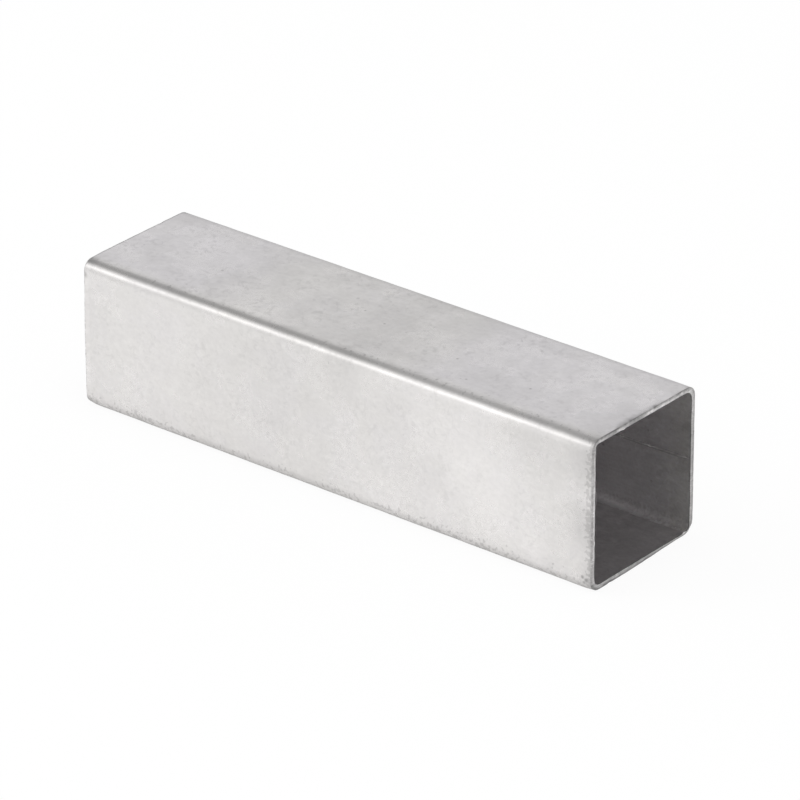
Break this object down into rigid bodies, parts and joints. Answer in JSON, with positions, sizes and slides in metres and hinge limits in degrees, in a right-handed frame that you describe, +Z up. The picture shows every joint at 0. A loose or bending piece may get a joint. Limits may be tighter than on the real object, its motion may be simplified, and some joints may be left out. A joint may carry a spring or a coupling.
{
  "type": "square steel tube",
  "caption": "Short length of square welded steel tube with rounded corners, sawn open ends and a weld bead inside.",
  "frame": {"origin": "middle of the bottom face, half way between the two saw cuts", "axes": "+X along the tube towards the right cut, +Z up, the weld seam is inside the +Y wall"},
  "size_m": [0.2, 0.05, 0.05],
  "materials": {
    "steel": "bright cold rolled steel, bare, softly mottled with fine pits and faint marks along its length"
  },
  "bodies": {
    "root": {"square_tube": "steel"}
  },
  "joints": []
}
